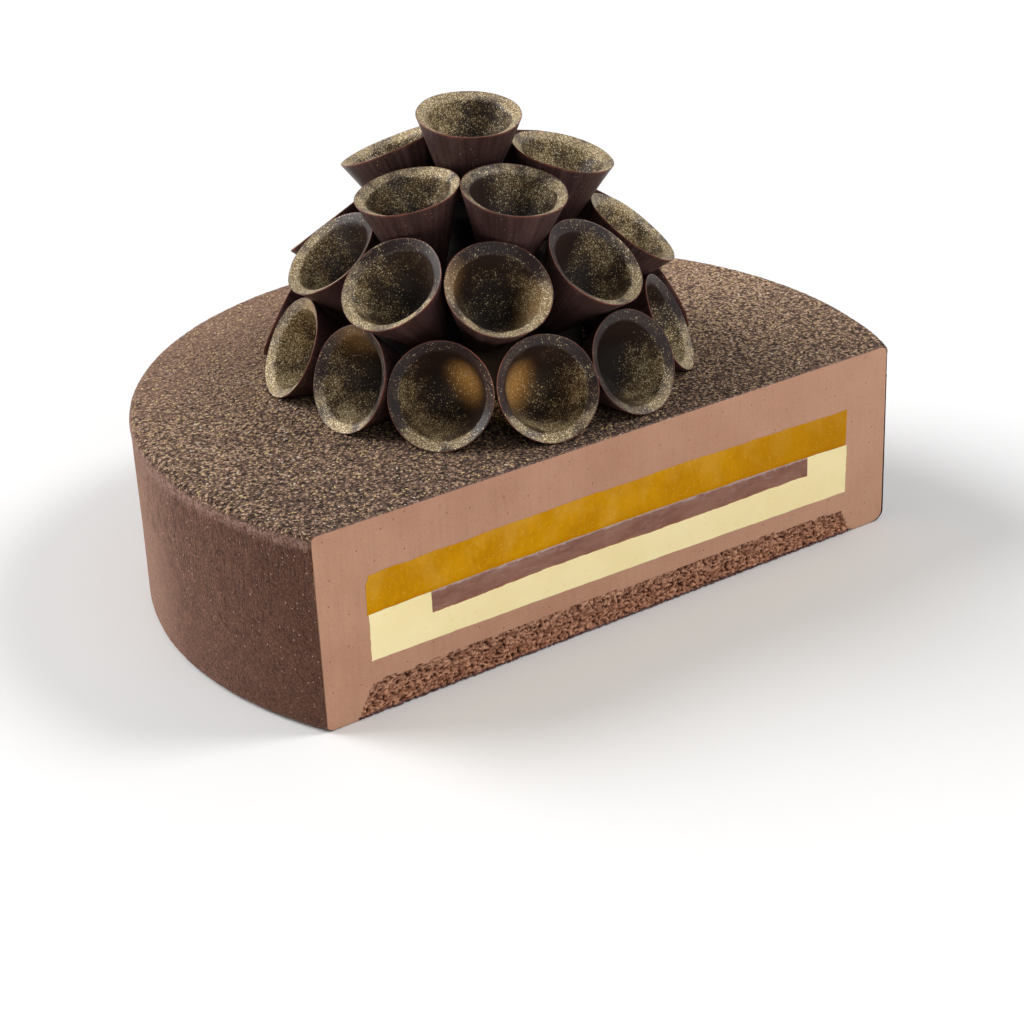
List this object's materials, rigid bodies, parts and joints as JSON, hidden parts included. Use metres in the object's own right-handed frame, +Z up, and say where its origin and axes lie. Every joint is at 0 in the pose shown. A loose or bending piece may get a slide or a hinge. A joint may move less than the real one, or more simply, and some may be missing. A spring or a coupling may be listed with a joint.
{
  "type": "layered chocolate mousse cake",
  "caption": "Half of a round layered chocolate mousse cake with a straight cut face, velvet coat, and a mound of small chocolate cups on top.",
  "frame": {"origin": "middle of the object's footprint, on the plane that the cake stands on", "axes": "-Y out of the cut face, +X along the cut to the right as seen from the front, +Z up"},
  "size_m": [0.18, 0.1304, 0.1103],
  "materials": {
    "cocoa_velvet": "matte",
    "crumb": "matte",
    "vanilla_cream": "satin",
    "fruit_jelly": "gloss",
    "chocolate_insert": "satin",
    "chocolate_core": "matte",
    "dark_chocolate": "satin"
  },
  "bodies": {
    "root": {"chocolate_insert": "chocolate_insert", "cream": "vanilla_cream", "cup_low_01": "dark_chocolate", "cup_low_02": "dark_chocolate", "cup_low_03": "dark_chocolate", "cup_low_04": "dark_chocolate", "cup_low_05": "dark_chocolate", "cup_low_06": "dark_chocolate", "cup_low_07": "dark_chocolate", "cup_low_08": "dark_chocolate", "cup_low_09": "dark_chocolate", "cup_low_10": "dark_chocolate", "cup_low_11": "dark_chocolate", "cup_low_12": "dark_chocolate", "cup_middle_01": "dark_chocolate", "cup_middle_02": "dark_chocolate", "cup_middle_03": "dark_chocolate", "cup_middle_04": "dark_chocolate", "cup_middle_05": "dark_chocolate", "cup_middle_06": "dark_chocolate", "cup_middle_07": "dark_chocolate", "cup_middle_08": "dark_chocolate", "cup_middle_09": "dark_chocolate", "cup_top_01": "dark_chocolate", "cup_upper_01": "dark_chocolate", "cup_upper_02": "dark_chocolate", "cup_upper_03": "dark_chocolate", "cup_upper_04": "dark_chocolate", "cup_upper_05": "dark_chocolate", "fruit_jelly": "fruit_jelly", "mound_core": "chocolate_core", "mousse": "cocoa_velvet", "sponge": "crumb"}
  },
  "joints": []
}
